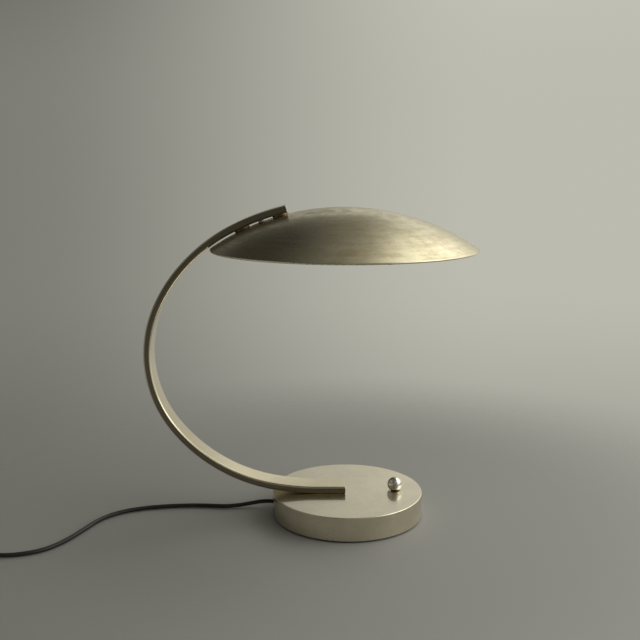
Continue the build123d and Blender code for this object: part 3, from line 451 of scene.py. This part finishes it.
# Aged in rings, patches and wiped streaks outside, painted white inside
def shadeNickel(facts):
    f = Finish("shade nickel")
    centre = domeFacts["centre"]
    centred = f.place(centre)
    reach = f.vector("LENGTH", centred, out="Value")
    inside = 1 - f.ease(reach, domeFacts["inner"] + facts["paintFrom"], domeFacts["outer"] - facts["paintTo"])
    around = f.vector("NORMALIZE", f.vector("MULTIPLY", centred, (1, 1, 0)))
    ring = f.node("ShaderNodeCombineXYZ", None, {"Z": f.along(centred, "Z") * facts["rings"]})
    streak = f.noise(f.vector("MULTIPLY_ADD", around, facts["around"], ring), *facts["streak"])
    wiped = f.noise(f.place(centre, facts["wipedStretch"]), *facts["wiped"])
    cloud, mottle, speck = (f.noise(centred, *facts[key]) for key in ("cloud", "mottle", "speck"))
    byCloud, byMottle, byStreak, byWiping = facts["ageShares"]
    age = f.ease(cloud * byCloud + mottle * byMottle + streak * byStreak + wiped * byWiping, *facts["ageEase"])
    metal = f.blend(age, facts["bright"], facts["dull"])
    metal = f.blend(f.ease(speck, *facts["speckEase"]), metal, facts["spots"])
    rough = facts["rough"] + facts["ageRough"] * age + facts["streakRough"] * streak
    height = streak + facts["bumpShares"][0] * mottle + facts["bumpShares"][1] * speck
    return f.surface(Base_Color=f.blend(inside, metal, facts["paint"]), Metallic=1 - inside,
                     Roughness=rough * (1 - inside) + facts["paintRough"] * inside,
                     Normal=f.bump(height, *facts["bump"]))


plainSlots = {
    "polished_chrome": "polished chrome", "zinc_steel": "zinc steel", "cast_weight": "cast iron",
    "green_felt": "felt", "black_rubber": "moulded rubber", "black_tie": "woven tie", "black_plug": "moulded plug",
    "pin_metal": "plated pins", "wire_insulation": "wire sleeve", "bakelite": "bakelite",
    "terminal_plastic": "pale moulding", "pad_brass": "browned brass", "bulb_glass": "frosted glass",
    "bulb_cap": "rolled aluminium",
}
finishes = {slot: plainFinish(name) for slot, name in plainSlots.items()}
finishes["black_cord"] = cord.data.materials[0]
finishes["satin_nickel"] = armNickel(nickelFacts["arm"])
finishes["shade_nickel"] = shadeNickel(nickelFacts["shade"])
# The ring nut under the ball, and its knurl below, get steel darkened as painted shade
ownFinish = {"base_shell": baseNickel(nickelFacts["base"]), "switch_nut": plainFinish("blacked steel")}
for row in frame["record"]["subparts"]:
    mesh = nodes[row["node"]].data
    mesh.materials.clear()
    mesh.materials.append(ownFinish.get(row["node"], finishes[row["material_slot"]]))
print("finishes set:", len(finishes) + len(ownFinish))


# Arm: a flat tube with rounded edges, swept along a straight foot and five arcs, by the sizes in armFacts
def armPath(facts):
    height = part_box("base_shell")[1].z + facts["thickness"] / 2
    bend = facts["footEnd"] - facts["footRun"]
    points = [Vector((facts["footEnd"] - facts["footRun"] * k / facts["footSteps"], 0, height))
              for k in range(facts["footSteps"])]
    turn, spot = facts["footHeading"], Vector((bend, 0, height))
    for radius, sweep in facts["arcs"]:
        middle = spot - Vector((-sin(radians(turn)), 0, cos(radians(turn)))) * radius
        steps = round(sweep / facts["stepAngle"])
        for k in range(steps + 1):
            angle = radians(turn - sweep * k / steps)
            point = middle + Vector((-sin(angle), 0, cos(angle))) * radius
            if k < steps:
                points.append(point)
        turn, spot = turn - sweep, point
    path = bpy.data.meshes.new("arm path")
    points.append(spot)
    path.from_pydata(points, [(k, k + 1) for k in range(len(points) - 1)], [])
    return path


def armBand(facts):
    band = Growth("arm band", {"Width": facts["width"], "Thickness": facts["thickness"],
                               "Edge radius": facts["edge"], "Edge steps": facts["edgeSteps"]})
    line = band.node("GeometryNodeMeshToCurve", None, {"Mesh": band.size("Path")})
    section = band.node("GeometryNodeCurvePrimitiveQuadrilateral", None,
                        {"Width": band.size("Width"), "Height": band.size("Thickness")})
    section = band.node("GeometryNodeFilletCurve", {"mode": "POLY"},
                        {"Curve": section, "Radius": band.size("Edge radius"), "Count": band.size("Edge steps")})
    tube = band.node("GeometryNodeCurveToMesh", None, {"Curve": line, "Profile Curve": section, "Fill Caps": True})
    made = band.grow("arm_band", tube, finishes["satin_nickel"], Matrix(), armPath(facts))
    shape = bmesh.new()
    shape.from_mesh(made.data)
    bmesh.ops.remove_doubles(shape, verts=shape.verts, dist=facts["weld"])
    bmesh.ops.recalc_face_normals(shape, faces=shape.faces)
    ends = [edge for edge in shape.edges if edge.calc_face_angle(0.0) > radians(facts["endAngle"])]
    bmesh.ops.bevel(shape, geom=ends, offset=facts["endSoft"], segments=facts["endSteps"], profile=0.5,
                    affect="EDGES")
    shape.to_mesh(made.data)
    shape.free()
    made.data.shade_smooth()
    even = made.modifiers.new("even shading", "WEIGHTED_NORMAL")
    even.weight = facts["flatWeight"]
    mesh = bpy.data.meshes.new_from_object(made.evaluated_get(bpy.context.evaluated_depsgraph_get()))
    made.modifiers.remove(even)
    made.data = mesh
    return made


arm = wear(armBand(armFacts), "stand", "satin_nickel", "arm_tube", "arm_foot_cap", "arm_tip_cap")
print("arm swept:", len(arm.data.polygons), "faces")

# Rolled edge of the shade, rubbed bright
rimFacts = {"ring": 0.167479, "height": 0.351027, "bead": 0.00131, "ringSteps": 320, "beadSteps": 20}


def rimNickel():
    f = Finish("rim nickel")
    return platedNickel(f, f.noise(f.place(), *nickelFacts["rim"]["lines"]), nickelFacts["rim"])


rim = Growth("shade rim", {"Ring": rimFacts["ring"], "Bead": rimFacts["bead"], "Ring steps": rimFacts["ringSteps"],
                           "Bead steps": rimFacts["beadSteps"]})
hoop = rim.node("GeometryNodeCurveToMesh", None,
                {"Curve": rim.circle(rim.size("Ring steps"), rim.size("Ring")),
                 "Profile Curve": rim.circle(rim.size("Bead steps"), rim.size("Bead"))})
shadeRim = rim.grow("shade_rim", hoop, rimNickel(),
                    Matrix.Translation((domeFacts["centre"][0], 0, rimFacts["height"])))
wear(shadeRim, "shade", "shade_nickel")
print("rim rolled")

# Felt under the base: a cut disc with a soft, slightly uneven edge
feltFacts = {"edge": 0.0007, "steps": 180, "rings": 14, "ruffle": 0.00018, "waves": (7, 19, 43),
             "edgeShare": 0.3, "ruffleFromShare": 0.97, "sharp": 60}


def feltDisc(facts):
    low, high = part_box("base_felt")
    radius, top = (high.x - low.x) / 2, high.z
    edge = facts["edge"]
    cut = edge * facts["edgeShare"]
    outline = [(0.0, 0.0)] + [(0.0, radius * k / facts["rings"]) for k in range(1, facts["rings"])]
    outline += [(0.0, radius - edge), (cut, radius - cut), (edge, radius), (top - edge, radius),
                (top - cut, radius - cut), (top, radius - edge)]
    outline += [(top, radius * k / facts["rings"]) for k in range(facts["rings"] - 1, 0, -1)] + [(top, 0.0)]
    shape = turned(outline, facts["steps"], False)
    shape.transform(Matrix.Rotation(radians(-90), 4, "Y"))
    for vert in shape.verts:
        flat = Vector((vert.co.x, vert.co.y, 0))
        if flat.length > radius * facts["ruffleFromShare"]:
            turn = flat.angle(Vector((1, 0, 0))) if flat.y >= 0 else 2 * pi - flat.angle(Vector((1, 0, 0)))
            ruffle = sum(sin(turn * wave + wave) for wave in facts["waves"]) / len(facts["waves"])
            vert.co -= flat.normalized() * facts["ruffle"] * (1 + ruffle)
    return pieceFrom("felt_disc", shape, finishes["green_felt"], facts["sharp"]), radius


felt, feltRadius = feltDisc(feltFacts)
wear(felt, "stand", "green_felt", "base_felt")
print("felt cut:", round(feltRadius * 2, 4), "across")

# Lampholders: turned bodies with a ribbed grip and a threaded skirt
holderFacts = {
    "back": 0.0106, "cone": 0.0125, "body": 0.0186, "collar": 0.0196, "gripFrom": 0.017, "gripTo": 0.0345,
    "skirt": 0.0188, "threadFrom": 0.039, "threadTo": 0.0505, "threads": 6, "threadDepth": 0.0007,
    "mouth": 0.0146, "bore": 0.0136, "boreFrom": 0.024, "nipple": 0.0050, "soft": 0.0006, "steps": 96,
    "backSlope": 1.6, "coneSlope": 0.6, "threadShares": (0.3, 0.6, 0.9),
    "ribs": 30, "ribWidth": 0.0026, "ribShare": 0.97, "ribSteps": (10, 8),
}


def holderOutline(facts, length):
    soft = facts["soft"]
    line = [(0.0, facts["nipple"]), (0.0, facts["back"]), (soft, facts["back"] + soft * facts["backSlope"]),
            (facts["cone"] - soft, facts["body"] - soft * facts["coneSlope"]),
            (facts["cone"] + soft, facts["body"]), (facts["cone"] + soft, facts["collar"] - soft),
            (facts["cone"] + 2 * soft, facts["collar"]),
            (facts["gripFrom"] - soft, facts["collar"]), (facts["gripFrom"], facts["collar"] - soft),
            (facts["gripFrom"], facts["body"] - soft), (facts["gripTo"], facts["body"] - soft),
            (facts["gripTo"], facts["collar"] - soft), (facts["gripTo"] + soft, facts["collar"]),
            (facts["threadFrom"] - 3 * soft, facts["collar"]), (facts["threadFrom"] - 2 * soft, facts["skirt"])]
    pitch = (facts["threadTo"] - facts["threadFrom"]) / facts["threads"]
    up, down, end = (share * pitch for share in facts["threadShares"])
    for k in range(facts["threads"]):
        start = facts["threadFrom"] + k * pitch
        line += [(start, facts["skirt"]), (start + up, facts["skirt"] + facts["threadDepth"]),
                 (start + down, facts["skirt"] + facts["threadDepth"]), (start + end, facts["skirt"])]
    line += [(facts["threadTo"] + soft, facts["skirt"]), (length - soft, facts["skirt"]),
             (length, facts["skirt"] - soft), (length, facts["mouth"] + soft), (length - soft, facts["mouth"]),
             (length - 3 * soft, facts["bore"]), (facts["boreFrom"], facts["bore"]),
             (facts["boreFrom"], facts["nipple"])]
    return line


for side in ("near", "far"):
    low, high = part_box(f"lampholder_{side}")
    middle = (low + high) / 2
    spot = Matrix.Translation((low.x, middle.y, middle.z))
    body = turned(holderOutline(holderFacts, high.x - low.x), holderFacts["steps"], True)
    body.transform(spot)
    holder = pieceFrom(f"holder_{side}", body, finishes["bakelite"])
    wear(holder, "stand", "bakelite", f"lampholder_{side}")
    gripRun = holderFacts["gripTo"] - holderFacts["gripFrom"]
    ribs = Growth(f"grip ribs {side}", {"Ribs": holderFacts["ribs"],
                                        "Ring": holderFacts["body"] - holderFacts["soft"],
                                        "Rib width": holderFacts["ribWidth"],
                                        "Rib length": gripRun * holderFacts["ribShare"]})
    ring = ribs.node("GeometryNodeMeshCircle", None, {"Vertices": ribs.size("Ribs"), "Radius": ribs.size("Ring")})
    long = ribs.extent("Rib width", "Rib width", "Rib length")
    turn = spot @ Matrix.Translation(((holderFacts["gripFrom"] + holderFacts["gripTo"]) / 2, 0, 0))
    grip = ribs.grow(f"holder_grip_{side}", ribs.spread(ribs.bead(*holderFacts["ribSteps"]), ring, long),
                     finishes["bakelite"], turn @ Matrix.Rotation(radians(90), 4, "Y"))
    wear(grip, "stand", "bakelite")
print("lampholders turned")

# Leads from the hollow stud to the lampholders
leadFacts = {
    "diameter": 0.0024, "length": 0.063, "apart": 0.0013, "side": 0.032, "resolution": 16,
    "stud": (-0.10519, 0.37213), "under": (-0.10072, 0.35992),
    "before": (-0.0778, 0.3618), "inside": (-0.0588, 0.3618),
}
for side, way in (("near", -1), ("far", 1)):
    rows = [(leadFacts["stud"], leadFacts["apart"]), (leadFacts["under"], leadFacts["apart"]),
            (leadFacts["before"], leadFacts["side"]), (leadFacts["inside"], leadFacts["side"])]
    points = [Vector((x, way * y, z)) for (x, z), y in rows]
    lead = smoothLine(f"holder_lead_{side}", points, leadFacts["diameter"], finishes["wire_insulation"],
                      leadFacts["resolution"])
    wear(lead, "stand", "wire_insulation", "holder_leads")
print("leads drawn")

# Ring nut under the ball, knurled round its edge
nutFacts = {"ridges": 44, "ridgeWidth": 0.00052, "sink": 0.0001, "ridgeSteps": (6, 5)}
low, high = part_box("switch_nut")
knurl = Growth("nut knurl", {"Ridges": nutFacts["ridges"], "Ring": (high.x - low.x) / 2 - nutFacts["sink"],
                             "Ridge width": nutFacts["ridgeWidth"], "Ridge height": high.z - low.z})
ring = knurl.node("GeometryNodeMeshCircle", None, {"Vertices": knurl.size("Ridges"), "Radius": knurl.size("Ring")})
tall = knurl.extent("Ridge width", "Ridge width", "Ridge height")
ridges = knurl.spread(knurl.bead(*nutFacts["ridgeSteps"]), ring, tall)
knurled = knurl.grow("switch_nut_knurl", ridges, ownFinish["switch_nut"], Matrix.Translation((low + high) / 2))
wear(knurled, "stand", "zinc_steel")
print("nut knurled")

# Tie round the coil: a woven strap with its end laid over itself
tieFacts = {"thickness": 0.0009, "corner": 0.0030, "cornerSteps": 8, "overlap": 0.014, "step": 0.0008,
            "lift": 0.00095, "liftSteps": 4, "edge": 0.00025, "sharp": 50}


def tieStrap(facts):
    low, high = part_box("cord_tie")
    middle = (low + high) / 2
    half, edge = facts["thickness"] / 2, facts["edge"]
    halfAcross, halfUp = (high.x - low.x) / 2 - half, (high.z - low.z) / 2 - half
    corner, halfWide = facts["corner"], (high.y - low.y) / 2
    runs = []
    for k, (sideX, sideZ) in enumerate(((1, 1), (1, -1), (-1, -1), (-1, 1))):
        hub = Vector((sideX * (halfAcross - corner), 0, sideZ * (halfUp - corner)))
        for i in range(facts["cornerSteps"] + 1):
            turn = pi / 2 - pi / 2 * (k + i / facts["cornerSteps"])
            away = Vector((cos(turn), 0, sin(turn)))
            runs.append((hub + away * corner, away))
    start = (Vector((0, 0, halfUp)), Vector((0, 0, 1)))
    path = [start] + runs + [start]
    tail = int(facts["overlap"] / facts["step"])
    reach = min(facts["overlap"], halfAcross - corner)
    for i in range(1, tail + 1):
        rise = facts["lift"] * min(1, i / facts["liftSteps"])
        path.append((Vector((reach * i / tail, 0, halfUp + rise)), Vector((0, 0, 1))))
    shape = bmesh.new()
    section = [(-halfWide, -half + edge), (-halfWide, half - edge), (-halfWide + edge, half),
               (halfWide - edge, half), (halfWide, half - edge), (halfWide, -half + edge),
               (halfWide - edge, -half), (-halfWide + edge, -half)]
    rings = [[shape.verts.new(point + Vector((0, across, 0)) + away * out) for across, out in section]
             for point, away in path]
    for ring, after in zip(rings, rings[1:]):
        for k in range(len(section)):
            n = (k + 1) % len(section)
            shape.faces.new((ring[k], ring[n], after[n], after[k]))
    shape.faces.new(rings[0])
    shape.faces.new(rings[-1][::-1])
    bmesh.ops.recalc_face_normals(shape, faces=shape.faces)
    shape.transform(Matrix.Translation(middle))
    return pieceFrom("coil_tie", shape, finishes["black_tie"], facts["sharp"])


tie = wear(tieStrap(tieFacts), "stand", "black_tie", "cord_tie")
print("tie strapped")

# Plug: grip ribs across its top and soft rings round its boot
plugFacts = {"ribs": 5, "ribPitch": 0.0030, "ribWidth": 0.0016, "ribHeight": 0.0013, "ribLength": 0.021,
             "ribFrom": 0.0085, "rings": 5, "ringPitch": 0.0018, "ringFrom": 0.0011, "ringStart": 0.00395,
             "ringEnd": 0.00470, "ringBead": 0.10, "ribSteps": (12, 10), "hoopSteps": 40, "beadSteps": 8}
low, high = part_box("plug_body")
plugMiddle = (low + high) / 2
ribs = Growth("plug ribs", {"Ribs": plugFacts["ribs"], "Pitch": plugFacts["ribPitch"],
                            "Rib width": plugFacts["ribWidth"], "Rib height": plugFacts["ribHeight"],
                            "Rib length": plugFacts["ribLength"]})
row = ribs.node("GeometryNodeMeshLine", None,
                {"Count": ribs.size("Ribs"),
                 "Offset": ribs.node("ShaderNodeCombineXYZ", None, {"Y": ribs.size("Pitch")})})
wide = ribs.extent("Rib length", "Rib width", "Rib height")
spot = Vector((plugMiddle.x, low.y + plugFacts["ribFrom"], high.z))
ridges = ribs.spread(ribs.bead(*plugFacts["ribSteps"]), row, wide)
plugGrip = ribs.grow("plug_grip", ridges, finishes["black_plug"], Matrix.Translation(spot))
wear(plugGrip, "stand", "black_plug")

rings = Growth("boot rings", {"Rings": plugFacts["rings"], "Pitch": plugFacts["ringPitch"],
                              "First ring": plugFacts["ringStart"], "Last ring": plugFacts["ringEnd"],
                              "Bead": plugFacts["ringBead"]})
row = rings.node("GeometryNodeMeshLine", None,
                 {"Count": rings.size("Rings"),
                  "Offset": rings.node("ShaderNodeCombineXYZ", None, {"Z": rings.size("Pitch")})})
hoop = rings.node("GeometryNodeCurveToMesh", None,
                  {"Curve": rings.circle(plugFacts["hoopSteps"], 1.0),
                   "Profile Curve": rings.circle(plugFacts["beadSteps"], rings.size("Bead"))})
share = rings.node("GeometryNodeInputIndex") / (rings.size("Rings") - 1)
reach = rings.size("First ring") + share * (rings.size("Last ring") - rings.size("First ring"))
everyWay = rings.node("ShaderNodeCombineXYZ", None, {"X": reach, "Y": reach, "Z": reach})
spot = Vector((plugMiddle.x, high.y - plugFacts["ringFrom"], plugMiddle.z))
bootRings = rings.grow("boot_rings", rings.spread(hoop, row, everyWay), finishes["black_plug"],
                       Matrix.Translation(spot) @ Matrix.Rotation(radians(90), 4, "X"))
wear(bootRings, "stand", "black_plug")
print("plug ribbed")

# Floor, light and world
stageFacts = {
    "floorReach": 2.4, "floorHeight": -0.0004, "floorFade": (0.26, 0.80), "floorColour": (0.36, 0.357, 0.346),
    "floorSteps": 96, "floorTone": (3, 3), "floorShade": 0.96, "floorRough": 0.6,
    "keyPlace": (1.30, -0.10, 1.05), "keyAim": (0.12, 0.0, 0.0), "keySize": (1.4, 1.4), "keySpread": 160.0,
    "keyPower": 6.4,
}


def paleFloor():
    f = Finish("pale floor")
    spot = f.node("ShaderNodeTexCoord", out="Object")
    reach = f.vector("LENGTH", spot, out="Value")
    tone = f.noise(spot, *stageFacts["floorTone"])
    colour = stageFacts["floorColour"]
    colour = f.blend(tone, colour, [part * stageFacts["floorShade"] for part in colour])
    paint = f.node("ShaderNodeBsdfPrincipled", None, {"Base Color": colour, "Roughness": stageFacts["floorRough"]})
    gone = f.node("ShaderNodeBsdfTransparent")
    mixed = f.node("ShaderNodeMixShader", None, {0: f.ease(reach, *stageFacts["floorFade"]), 1: paint, 2: gone})
    f.node("ShaderNodeOutputMaterial", None, {"Surface": mixed})
    return f.material


sheet = bmesh.new()
bmesh.ops.create_circle(sheet, cap_ends=True, radius=stageFacts["floorReach"], segments=stageFacts["floorSteps"],
                        matrix=Matrix.Translation((0, 0, stageFacts["floorHeight"])))
pieceFrom("floor", sheet, paleFloor())

keyData = bpy.data.lights.new("key light", "AREA")
keyData.shape = "RECTANGLE"
keyData.size, keyData.size_y = stageFacts["keySize"]
keyData.spread = radians(stageFacts["keySpread"])
keyData.energy = stageFacts["keyPower"]
key = link("key light", keyData)
key.location = stageFacts["keyPlace"]
key.rotation_euler = (Vector(stageFacts["keyAim"]) - key.location).to_track_quat("-Z", "Y").to_euler()


# Light by direction: pale behind, bright at the right, dim in front. A row eases one heading between its first
# two values, from 0 to 1 or between the last two
worldFacts = {
    "back": (0.0, 0.6), "lifted": (0.05, 0.33), "overhead": (0.37, 0.50), "tint": (0.985, 0.86),
    "rearLevel": (0.05, 0.33, 0.46, 0.53), "rearRaised": (0.19, 0.34, 0.0, 0.28),
    "rearLow": (-0.36, -0.12, 0.7, 1.0), "rearDim": (0.05, 0.33, 0.45, 0.15),
    "rearBright": 1.1, "rearAcross": (-0.35, 0.2),
    "rearLeft": (-0.55, -0.35, 0.5, 1.0), "rearFarLeft": (-0.9, -0.6, 0.5, 0.0),
    "rearRight": (0.34, 0.6, 0.0, 0.5), "rearRightLow": (-0.36, 0.12, 0.2, 1.0),
    "flank": 0.12, "flankRight": (0.3, 0.8, 0.0, 0.5), "flankRightLow": (-0.40, 0.06, 0.35, 1.0),
    "flankLeft": (-0.85, -0.45, 0.22, 0.0), "flankLow": (-0.42, -0.06, 0.14, 0.0),
    "front": (-0.6, -0.2, 0.06, 0.0), "frontFrom": (0.12, 0.36), "frontTo": (0.75, 0.95, 1.0, 0.0),
    "top": 0.03, "topRight": (-0.25, 0.15, 0.0, 0.19), "topLeft": (-0.8, -0.45, 0.20, 0.0),
    "topMiddle": (0.80, 0.95, 0.0, 0.08),
    "panel": 1.55, "panelFrom": (0.08, 0.48), "panelTo": (0.5, 0.8, 1.0, 0.4), "panelDeep": (-0.1, 0.3),
    "strip": 0.45, "stripSide": (0.40, 0.62), "stripNear": (-0.8, -0.5), "stripFar": (0.0, 0.3, 1.0, 0.0),
    "stripUp": (0.08, 0.30),
}


def studioWorld(facts):
    world = bpy.data.worlds.new("studio")
    world.use_nodes = True
    w = Bench(world.node_tree)
    w.tree.nodes.clear()
    heading = w.node("ShaderNodeTexCoord", out="Generated")
    sideways, deep, upward = (w.along(heading, axis) for axis in "XYZ")

    def eased(value, key):
        return w.ease(value, *facts[key])

    back, lifted, overhead = eased(deep, "back"), eased(upward, "lifted"), eased(upward, "overhead")
    dim = eased(upward, "rearDim")
    rear = eased(upward, "rearLevel") + eased(upward, "rearRaised")
    rear = rear * (dim + (facts["rearBright"] - dim) * eased(sideways, "rearAcross"))
    rear = rear * (eased(sideways, "rearLeft") + eased(sideways, "rearFarLeft")) * eased(upward, "rearLow")
    rear = rear + eased(sideways, "rearRight") * eased(upward, "rearRightLow")
    flank = facts["flank"] + eased(sideways, "flankRight") * eased(upward, "flankRightLow")
    flank = flank + eased(sideways, "flankLeft") * (1 - lifted) + eased(upward, "flankLow")
    panel = facts["panel"] * eased(sideways, "panelFrom") * eased(sideways, "panelTo") * eased(deep, "panelDeep")
    top = facts["top"] + eased(sideways, "topRight") + eased(sideways, "topLeft")
    top = top + eased(upward, "topMiddle") + panel
    strip = facts["strip"] * eased(sideways, "stripSide") * eased(deep, "stripNear") * eased(deep, "stripFar")
    front = eased(deep, "front") * eased(upward, "frontFrom") * eased(upward, "frontTo")
    glow = (back * rear + (1 - back) * flank) * (1 - overhead) + top * overhead
    glow = glow + front + strip * eased(upward, "stripUp")
    green, blue = facts["tint"]
    tint = w.node("ShaderNodeCombineColor", None, {0: glow, 1: glow * green, 2: glow * blue})
    backing = w.node("ShaderNodeBackground", None, {"Color": tint, "Strength": 1.0})
    w.node("ShaderNodeOutputWorld", None, {"Surface": backing})
    return world


bpy.context.scene.world = studioWorld(worldFacts)
bpy.context.scene.view_settings.view_transform = "Standard"
print("stage set")
